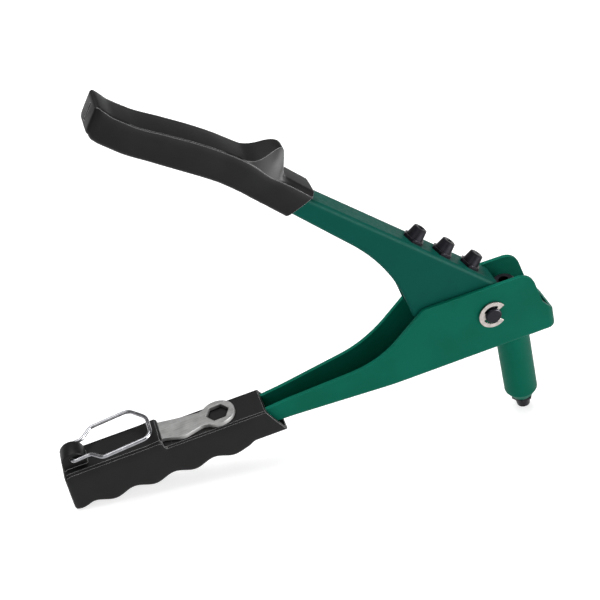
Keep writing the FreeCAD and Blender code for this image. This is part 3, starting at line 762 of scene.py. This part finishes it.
def blended(keys: Sequence[Station], pitch: float) -> list[Station]:
    """Fill the space between key stations with smooth ones.

    Args:
        keys: the stations that are given.
        pitch: largest distance between stations, in mm.

    Returns:
        The full row of stations.
    """
    places = [key.x for key in keys]
    columns = list(zip(*(key.values() for key in keys)))
    slopes = [even_slopes(places, column) for column in columns]
    row = []
    for index in range(len(keys) - 1):
        run = places[index + 1] - places[index]
        count = max(1, math.ceil(run / pitch))
        for step in range(count):
            t = step / count
            found = []
            for column, slope in zip(columns, slopes):
                a, b = column[index], column[index + 1]
                found.append(a * (2 * t**3 - 3 * t**2 + 1) + b * (3 * t**2 - 2 * t**3)
                             + slope[index] * run * (t**3 - 2 * t**2 + t)
                             + slope[index + 1] * run * (t**3 - t**2))
            row.append(Station(places[index] + run * t, *found))
    row.append(keys[-1])
    return row


@dataclass
class Sleeve:
    """Moulded grip drawn as a run of cross-sections with a hollow mouth at its front."""

    name: str
    keys: tuple[Station, ...]
    place: Matrix
    low_of: Callable[[float, float], float]
    corner: float = 2.4
    crown: float = 0.8
    bulge: float = 0.2
    pitch: float = 1.0
    end_round: float = 1.6
    mouth_depth: float = 24.0
    mouth_wall: float = 1.3
    crease_in: float = 0.4
    crease_drop: float = 0.45
    crease_turn: tuple[float, float] = (0.12, 0.14)

    def half_ring(self, station: Station) -> list[tuple[float, float]]:
        """Right half of one section, from the bottom's middle to the top's middle.

        Args:
            station: the section's sizes.

        Returns:
            Points as (y, z).
        """
        half = station.half
        low = self.low_of(station.x, station.low)
        bottom = min(self.corner, (station.crease - low) * 0.4)
        points = [(0.0, low), (half * 0.4, low)]
        points += arc_points((half - bottom, low + bottom), bottom, -90.0, 0.0, 6)
        side_low, side_high = low + bottom, station.crease - self.crease_drop
        for share in (0.25, 0.5, 0.75):
            points.append((half + self.bulge * math.sin(math.pi * share),
                           side_low + (side_high - side_low) * share))
        edge_y, edge_z = half - self.crease_in, station.crease
        points += [(half, side_high),
                   (half - self.crease_turn[0], station.crease - self.crease_turn[1]),
                   (edge_y, edge_z)]
        flat = station.top - self.crown * (station.shoulder / half) ** 2
        for share in (0.33, 0.66, 1.0):
            points.append((edge_y + (station.shoulder - edge_y) * share,
                           edge_z + (flat - edge_z) * share))
        for share in (0.8, 0.55, 0.28, 0.0):
            y = station.shoulder * share
            points.append((y, station.top - self.crown * (y / half) ** 2))
        return points

    def ring(self, station: Station, inset: float = 0.0, shift: float = 0.0) -> list[Vector]:
        """Full section as points in the sleeve's frame, optionally shrunk.

        Args:
            station: the section's sizes.
            inset: how far the outline is drawn in, in mm.
            shift: how far the section is moved along X.

        Returns:
            The points in order round the section.
        """
        right = self.half_ring(station)
        ring = right + [(-y, z) for y, z in reversed(right[1:-1])]
        low = min(z for _, z in ring)
        high = max(z for _, z in ring)
        middle = (low + high) / 2
        wide = 1 - inset / station.half
        tall = 1 - inset / ((high - low) / 2)
        points = []
        for y, z in ring:
            z_in = middle + (z - middle) * tall
            points.append(Vector((station.x + shift + station.lean * (z_in - middle),
                                  y * wide, z_in)))
        return points

    def build(self) -> Object:
        """Build the sleeve.

        Returns:
            The piece, not yet shaded and without its material.
        """
        row = blended(self.keys, self.pitch)
        first, last = row[0], row[-1]
        rings = []
        for angle in (0.0, 30.0, 60.0):
            turn = math.radians(angle)
            rings.append(self.ring(first, self.end_round * (1 - math.sin(turn)),
                                   self.end_round * (1 - math.cos(turn)) - self.end_round))
        rings += [self.ring(station) for station in row]
        lip = 0.35
        rings.append(self.ring(last, lip, lip * 0.5))
        rings.append(self.ring(last, self.mouth_wall, lip * 0.5))
        rings.append(self.ring(last, self.mouth_wall + 0.1, -self.mouth_depth))
        builder = bmesh.new()
        bridge(builder, [[builder.verts.new(self.place @ point) for point in ring]
                         for ring in rings])
        return mesh_object(self.name, builder)


# ------------------------------------------------------------------ sub-assemblies

@dataclass
class FixedSide:
    """Pressed fixed handle with its fulcrum pin, clip and moulded lower grip."""

    frames: Frames
    finishes: Finishes
    sheet_edge_mm: float = 0.3
    wave_pitch: float = 20.4
    wave_crest: float = -211.6
    wave_level: float = -6.9
    wave_rise: float = 1.5
    wave_front: float = -141.0
    wave_front_fade: float = 3.0
    wave_heel: float = -229.5
    wave_heel_fade: float = 8.0
    pocket_floor: float = 11.9
    raised_top: float = 16.2
    step_back: float = 181.2
    slot_half: float = 8.6
    slot_end: float = 193.5
    boss_back: float = 223.5
    boss_lift: float = 18.5
    boss_radius: float = 6.0
    boss_half: float = 4.9
    pivot: tuple[float, float] = (-223.8, 21.0)
    pivot_radius: float = 1.0

    def wave(self, x: float, low: float) -> float:
        """Underside of the grip: finger waves that fade out at the heel and the front.

        Args:
            x: place along the tool.
            low: level without the waves.

        Returns:
            The height of the underside.
        """
        turn = 2 * math.pi * (x - self.wave_crest) / self.wave_pitch
        ripple = self.wave_level - self.wave_rise * math.cos(turn)
        share = (min(1.0, max(0.0, (self.wave_front - x) / self.wave_front_fade))
                 * min(1.0, max(0.0, (x - self.wave_heel) / self.wave_heel_fade)))
        share = share * share * (3 - 2 * share)
        return low + (ripple - low) * share

    def grip(self) -> None:
        """Lower grip: raised heel, step, wrench pocket and slot, latch boss."""
        top, floor, step = self.raised_top, self.pocket_floor, -self.step_back
        keys = (
            Station(-229.4, -6.9, top - 1.4, 8.2, top - 0.5, 9.3, 0.06),
            Station(-227.9, -7.0, top - 0.9, 8.3, top, 9.5, 0.04),
            Station(-222.0, -7.0, top - 0.8, 8.3, top, 9.5),
            Station(step - 9.0, -6.9, top - 0.8, 8.3, top, 9.5),
            Station(step - 3.0, -6.9, top - 0.6, 8.3, top + 0.45, 9.5),
            Station(step - 1.0, -6.9, top - 0.7, 8.3, top + 0.5, 9.5),
            Station(step, -6.9, top - 1.8, 8.3, top - 0.6, 9.5),
            Station(step + 0.25, -6.9, floor + 0.6, 8.4, floor + 0.9, 9.5),
            Station(step + 1.2, -6.9, floor - 0.6, 8.5, floor, 9.5),
            Station(step + 3.0, -6.9, floor - 0.6, 8.5, floor, 9.5),
            Station(-150.0, -6.2, floor - 0.6, 8.5, floor, 9.5),
            Station(-140.0, -4.4, floor - 0.6, 8.5, floor, 9.5, -0.3),
            Station(-126.3, -4.4, floor - 0.6, 8.5, floor, 9.5, -0.5),
        )
        sleeve = Sleeve("lower_grip", keys, self.frames.tool, self.wave, crown=0.0)
        piece = sleeve.build()
        radius, back, lift = self.boss_radius, -self.boss_back, self.boss_lift
        dome = arc_points((back, lift), radius, 0.0, 180.0, 17)
        outline = [*dome, (back - radius, floor), (back + radius, floor)]
        boss = outline_solid("boss", outline, -self.boss_half, self.boss_half,
                             self.frames.tool)
        round_edges(boss, 0.7, segments=3)
        combine(piece, boss, "UNION")
        bore = arc_points(self.pivot, self.pivot_radius, 0.0, 345.0, 24)
        combine(piece, outline_solid("bore", bore, -self.slot_half, self.slot_half,
                                     self.frames.tool), "DIFFERENCE")
        slot = rounded_box((-self.slot_end, -self.slot_half, floor - 0.02),
                           (step + 4.0, self.slot_half, floor + 2.4), self.frames.tool)
        combine(piece, slot, "DIFFERENCE")
        shade(piece, GRIP_CREASE_DEG)
        dress(piece, self.finishes.vinyl, "fixed_grip")

    def build(self) -> None:
        """Build and dress every piece on the fixed side."""
        dress_copy("fixed_handle", self.sheet_edge_mm, self.finishes.coat)
        dress_copy("fulcrum_pin", 0.2, self.finishes.oxide[Axis.ACROSS])
        dress_copy("fulcrum_pin_clip", 0.14, self.finishes.clip)
        self.grip()


@dataclass
class MovingSide:
    """Pressed moving handle with its moulded upper grip."""

    frames: Frames
    finishes: Finishes
    sheet_edge_mm: float = 0.3

    def grip(self) -> None:
        """Upper grip: lipped end, long crowned back, thumb horn and front rib."""
        keys = (
            Station(-220.0, 1.0, 13.8, 8.9, 14.1, 9.3, -0.13),
            Station(-218.2, -0.3, 13.5, 9.0, 13.9, 9.6, -0.12),
            Station(-213.0, -0.9, 12.6, 9.0, 13.0, 9.6, -0.06),
            Station(-205.0, -0.9, 12.7, 9.0, 13.2, 9.6),
            Station(-190.0, 0.8, 15.1, 9.0, 15.6, 9.6),
            Station(-176.0, 2.6, 17.3, 9.0, 17.8, 9.6),
            Station(-165.0, 4.0, 18.4, 9.0, 18.9, 9.6),
            Station(-157.0, 4.6, 18.8, 9.0, 19.2, 9.6),
            Station(-153.5, 4.6, 18.7, 8.9, 19.4, 9.6),
            Station(-150.0, 4.5, 18.4, 8.7, 20.6, 9.6),
            Station(-147.0, 4.4, 18.0, 7.8, 23.0, 9.6),
            Station(-144.4, 4.2, 17.5, 6.3, 26.2, 9.6),
            Station(-142.2, 4.0, 17.1, 4.7, 28.4, 9.6),
            Station(-140.4, 3.9, 16.9, 3.5, 29.2, 9.6),
            Station(-139.0, 3.8, 16.8, 3.2, 28.9, 9.6),
            Station(-137.8, 3.7, 16.8, 3.9, 27.2, 9.6),
            Station(-136.4, 3.6, 16.9, 5.6, 24.0, 9.6),
            Station(-135.0, 3.6, 17.0, 7.4, 20.6, 9.6),
            Station(-133.6, 3.5, 17.0, 7.2, 19.2, 9.6, 0.04),
            Station(-131.6, 3.4, 17.0, 6.4, 18.9, 9.6, 0.12),
            Station(-119.9, 2.7, 16.4, 6.4, 18.0, 9.6, 0.42),
        )
        sleeve = Sleeve("upper_grip", keys, self.frames.lever, lambda _, low: low,
                        crown=0.35, corner=2.6, end_round=1.5)
        piece = sleeve.build()
        groove = rounded_box((-225.0, -0.8, 3.4), (-220.3, 0.8, 11.4), self.frames.lever, 0.4)
        combine(piece, groove, "DIFFERENCE")
        shade(piece, GRIP_CREASE_DEG)
        dress(piece, self.finishes.vinyl, "moving_grip")

    def build(self) -> None:
        """Build and dress every piece on the moving side."""
        # The moving handle wears the darker copy of the coat: painted shade.
        dress_copy("moving_handle", self.sheet_edge_mm, self.finishes.shaded_lever_coat)
        self.grip()


@dataclass
class Nosepiece:
    """One screwed nosepiece: hexagon flange, tapered nose, ringed thread and snout."""

    node: str
    bore: float
    material: Material
    outward: Vector
    tip_radius: float = 2.6
    tip_break: float = 0.75
    root_radius: float = 4.25
    tip_length: float = 1.7
    barrel_length: float = 3.6
    flange: float = 1.5
    flats: float = 9.9
    overlap: float = 0.6
    thread_radius: float = 4.0
    thread_depth: float = 0.38
    thread_pitch: float = 0.8
    thread_length: float = 5.35
    snout_radius: float = 2.3
    snout_length: float = 3.3

    def place(self) -> Matrix:
        """Frame with its origin at the tip's middle and Z pointing back into the tool."""
        points = [vertex.co for vertex in frame["nodes"][self.node].data.vertices]
        middle = sum(points, Vector()) / len(points)
        reach = max((point - middle).dot(self.outward) for point in points)
        return Frames.upright(middle + self.outward * reach, -self.outward)

    def profile(self) -> list[tuple[float, float]]:
        """Closed turning profile, from the bore's mouth round to the snout's end."""
        flange_low = self.tip_length + self.barrel_length
        flange_high = flange_low + self.flange
        thread_top = flange_high + self.thread_length
        end = thread_top + self.snout_length
        edge = 0.3
        points = [(self.bore, edge), (self.bore + edge, 0.0), (self.tip_radius, 0.0),
                  (self.tip_radius + self.tip_break, edge),
                  (self.root_radius, flange_low + 0.1), (self.root_radius, flange_high)]
        root = self.thread_radius - self.thread_depth
        crest_from, crest_to, start = 0.42, 0.58, 0.4
        points.append((root, flange_high + edge))
        for turn in range(int((self.thread_length - start) / self.thread_pitch)):
            low = flange_high + start + turn * self.thread_pitch
            points += [(self.thread_radius, low + self.thread_pitch * crest_from),
                       (self.thread_radius, low + self.thread_pitch * crest_to),
                       (root, low + self.thread_pitch)]
        points += [(root, thread_top), (self.snout_radius, thread_top),
                   (self.snout_radius, end - edge), (self.snout_radius - edge, end),
                   (self.bore, end)]
        return points

    def hexagon(self, place: Matrix) -> Object:
        """Hexagon flange with the chamfered corners of a turned-down bar.

        Args:
            place: the nosepiece's frame.

        Returns:
            The flange as a loose piece.
        """
        low = self.tip_length + self.barrel_length
        high = low + self.flange
        corner = self.flats / math.sqrt(3)
        builder = bmesh.new()
        inner = self.flats / 2 - 0.02
        rows = [(inner, low), (corner, low + 0.28), (corner, high - 0.02), (corner - 0.1, high)]
        count = 48
        grid = []
        for reach, z in rows:
            ring = []
            for step in range(count):
                angle = 2 * math.pi * step / count
                sector = (angle + math.pi / 6) % (math.pi / 3) - math.pi / 6
                flat = (self.flats / 2) / math.cos(sector)
                turned = angle + math.pi / 6
                radius = min(flat, reach)
                ring.append(builder.verts.new(place @ Vector(
                    (radius * math.cos(turned), radius * math.sin(turned), z))))
            grid.append(ring)
        bridge(builder, grid)
        return mesh_object("hexagon", builder)

    def build(self) -> None:
        """Build and dress the nosepiece."""
        place = self.place()
        piece = turned_solid(f"{self.node}_finished", self.profile(), place)
        flange = self.hexagon(place)
        circle = arc_points((0.0, 0.0), self.root_radius - self.overlap, 0.0, 355.0, 72)
        clearance = outline_solid("cutter", circle, self.tip_length,
                                  self.tip_length + CUTTER_LENGTH,
                                  place @ Matrix.Rotation(math.radians(90), 4, "X"))
        combine(flange, clearance, "DIFFERENCE")
        combine(piece, flange, "UNION")
        shade(piece, NOSE_CREASE_DEG)
        dress(piece, self.material, self.node)


@dataclass
class NoseSet:
    """Barrel with its lock nut, the fitted nosepiece and the three spares."""

    finishes: Finishes
    bores: Mapping[str, float] = field(default_factory=lambda: {
        "nosepiece_fitted_3_2": 1.0, "nosepiece_spare_2_4": 0.8,
        "nosepiece_spare_4_0": 1.25, "nosepiece_spare_4_8": 1.5})

    def build(self) -> None:
        """Build and dress the nose's pieces."""
        dress_copy("barrel", 0.3, self.finishes.coat, 20.0)
        dress_copy("barrel_lock_nut", 0.3, self.finishes.nut)
        joints = {joint["child"]: joint for joint in frame["joints"]}
        for node, bore in self.bores.items():
            body = frame["nodes"][node]["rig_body"]
            outward = Vector(joints[body]["axis"])
            axis = Axis.NOSE if node == "nosepiece_fitted_3_2" else Axis.LEVER
            Nosepiece(node, bore, self.finishes.oxide[axis], outward).build()


@dataclass
class PullingTrain:
    """Jaw case, jaws, pusher, spring and pulling head inside the nose."""

    finishes: Finishes

    def build(self) -> None:
        """Dress the inner pieces, most of which keep their own shape."""
        dress_copy("pulling_head", 0.25, self.finishes.oxide[Axis.NOSE])
        dress_copy("jaw_case_lock_nut", 0.2, self.finishes.nut)
        dress_nodes(self.finishes.oxide[Axis.NOSE], ["jaw_case"])
        dress_nodes(self.finishes.steel, ["jaw_near", "jaw_far", "jaw_pusher", "jaw_spring"])


def rounded_route(corners: Sequence[tuple[float, ...]], step_deg: float = 8.0) -> list[Vector]:
    """Open path through corners, with an arc at each corner that has a radius.

    Args:
        corners: (x, y) or (x, y, radius) in order.
        step_deg: largest turn between points of an arc.

    Returns:
        The path's points in the XY plane.
    """
    places = [Vector((corner[0], corner[1], 0.0)) for corner in corners]
    route = [places[0]]
    for index in range(1, len(places) - 1):
        here = places[index]
        before = (places[index - 1] - here).normalized()
        after = (places[index + 1] - here).normalized()
        half = before.angle(after) / 2
        radius = corners[index][2]
        start = here + before * (radius / math.tan(half))
        centre = here + (before + after).normalized() * (radius / math.sin(half))
        turn = math.pi - 2 * half
        sign = 1.0 if before.cross(after).z < 0 else -1.0
        count = max(2, math.ceil(math.degrees(turn) / step_deg))
        for step in range(count + 1):
            spin = Matrix.Rotation(sign * turn * step / count, 3, "Z")
            route.append(centre + spin @ (start - centre))
    route.append(places[-1])
    return route


@dataclass
class LatchAndWrench:
    """Wire latch at the heel and the stored nosepiece wrench."""

    frames: Frames
    finishes: Finishes
    wire_radius: float = 0.95
    lean_deg: float = 5.0
    route: tuple[tuple[float, ...], ...] = (
        (0.0, -3.5), (0.0, -6.5, 1.55), (9.2, -6.5, 4.0), (14.6, -12.3, 4.0),
        (39.4, -12.3, 4.5), (39.4, 2.2, 9.0), (31.6, 12.3, 6.5), (11.6, 12.3, 3.6),
        (6.6, 6.5, 3.6), (0.0, 6.5, 1.55), (0.0, 3.5))

    def latch(self) -> None:
        """Bend the latch's wire: two necks in the boss and one rounded bow."""
        pivot = Vector(JOINTS["latch_hinge"]["pos_m"])
        lean = Matrix.Rotation(-math.radians(self.lean_deg), 3, "Y")
        up = lean @ (self.frames.tool.to_3x3() @ Vector((0, 0, 1))).normalized()
        place = Frames.upright(pivot, up)
        path = [place @ point for point in rounded_route(self.route)]
        curve = bpy.data.curves.new("latch_curve", "CURVE")
        curve.dimensions = "3D"
        curve.bevel_depth = self.wire_radius * MM
        curve.bevel_resolution = 5
        curve.use_fill_caps = True
        spline = curve.splines.new("POLY")
        spline.points.add(len(path) - 1)
        for point, spot in zip(spline.points, path):
            point.co = (*spot, 1.0)
        guide = in_scene("latch_guide", curve)
        graph = bpy.context.evaluated_depsgraph_get()
        mesh = bpy.data.meshes.new_from_object(guide.evaluated_get(graph))
        bpy.data.objects.remove(guide)
        piece = in_scene("latch_wire_finished", mesh)
        shade(piece, WIRE_CREASE_DEG)
        dress(piece, self.finishes.wire, "latch_wire")

    def build(self) -> None:
        """Build the latch and the wrench."""
        self.latch()
        dress_copy("nosepiece_wrench", 0.28, self.finishes.plate)


@dataclass
class Studio:
    """Plain pale floor, soft lights and the camera."""

    finishes: Finishes
    floor_m: float = 6.0
    distance_m: float = 0.6039
    lit_point_m: tuple[float, float, float] = (0.0, 0.0, 0.08)
    target_m: tuple[float, float, float] = (-0.0032, 0.0, 0.09177)
    azimuth_deg: float = -13.84
    elevation_deg: float = 34.49
    roll_deg: float = -2.765
    lens_mm: float = 77.8
    sensor_mm: float = 36.0

    def floor(self) -> None:
        """Lay a large floor under the tool."""
        builder = bmesh.new()
        half = self.floor_m / 2
        corners = [(-half, -half), (half, -half), (half, half), (-half, half)]
        builder.faces.new([builder.verts.new((x, y, 0.0)) for x, y in corners])
        ground = mesh_object("floor", builder)
        ground.data.materials.append(self.finishes.floor)

    def light(self, name: str, place: Vector, size_m: float, watts: float) -> Object:
        """Hang a square soft light that faces the tool.

        Args:
            name: light's name.
            place: where it hangs, in metres.
            size_m: side of its square.
            watts: its power.

        Returns:
            The light's object.
        """
        data = bpy.data.lights.new(name, "AREA")
        data.shape = "SQUARE"
        data.size = size_m
        data.energy = watts
        lamp = in_scene(name, data)
        lamp.location = place
        aim = Vector(self.lit_point_m) - place
        lamp.rotation_euler = aim.to_track_quat("-Z", "Y").to_euler()
        return lamp

    def lights(self) -> None:
        """Soft top light, a front fill, a sheen for the bends and an even surround."""
        self.light("top_box", Vector((-0.25, 0.3, 1.5)), 1.4, 30.0)
        self.light("front_box", Vector((-0.9, -1.3, 0.9)), 1.0, 6.0)
        self.light("right_box", Vector((1.25, -1.25, 0.36)), 0.55, 7.0)
        sheen = self.light("sheen_box", Vector((1.4, -1.02, 0.42)), 1.1, 140.0)
        sheen.visible_diffuse = False
        world = bpy.data.worlds.new("studio")
        world.use_nodes = True
        world.node_tree.nodes.clear()
        sky = add_node(world.node_tree, "ShaderNodeBackground",
                       {"Color": linear("#FFFFFF"), "Strength": 0.3})
        add_node(world.node_tree, "ShaderNodeOutputWorld",
                 links={"Surface": sky.outputs["Background"]})
        bpy.context.scene.world = world

    def camera(self) -> None:
        """Set the camera: in front, to the left and well above, with a slight roll."""
        azimuth, elevation = math.radians(self.azimuth_deg), math.radians(self.elevation_deg)
        back = Vector((math.sin(azimuth) * math.cos(elevation),
                       -math.cos(azimuth) * math.cos(elevation), math.sin(elevation)))
        level = Vector((math.cos(azimuth), math.sin(azimuth), 0.0))
        right = Matrix.Rotation(math.radians(self.roll_deg), 3, back) @ level
        up = back.cross(right)
        data = bpy.data.cameras.new("camera")
        data.sensor_width = self.sensor_mm
        data.lens = self.lens_mm
        data.clip_start, data.clip_end = 0.01, 20.0
        eye = in_scene("camera", data)
        turn = Matrix((right, up, back)).transposed().to_4x4()
        eye.matrix_world = Matrix.Translation(
            Vector(self.target_m) + back * self.distance_m) @ turn
        bpy.context.scene.camera = eye

    def build(self) -> None:
        """Set up the whole studio."""
        self.floor()
        self.lights()
        self.camera()
        bpy.context.scene.view_settings.view_transform = "Standard"


def main() -> None:
    """Build the studio and the tool, sub-assembly by sub-assembly."""
    logging.basicConfig(level=logging.INFO, format="%(name)s: %(message)s")
    frames = Frames.read()
    finishes = Finishes(frames)
    Studio(finishes).build()
    FixedSide(frames, finishes).build()
    MovingSide(frames, finishes).build()
    NoseSet(finishes).build()
    PullingTrain(finishes).build()
    LatchAndWrench(frames, finishes).build()


if __name__ == "__main__":
    main()
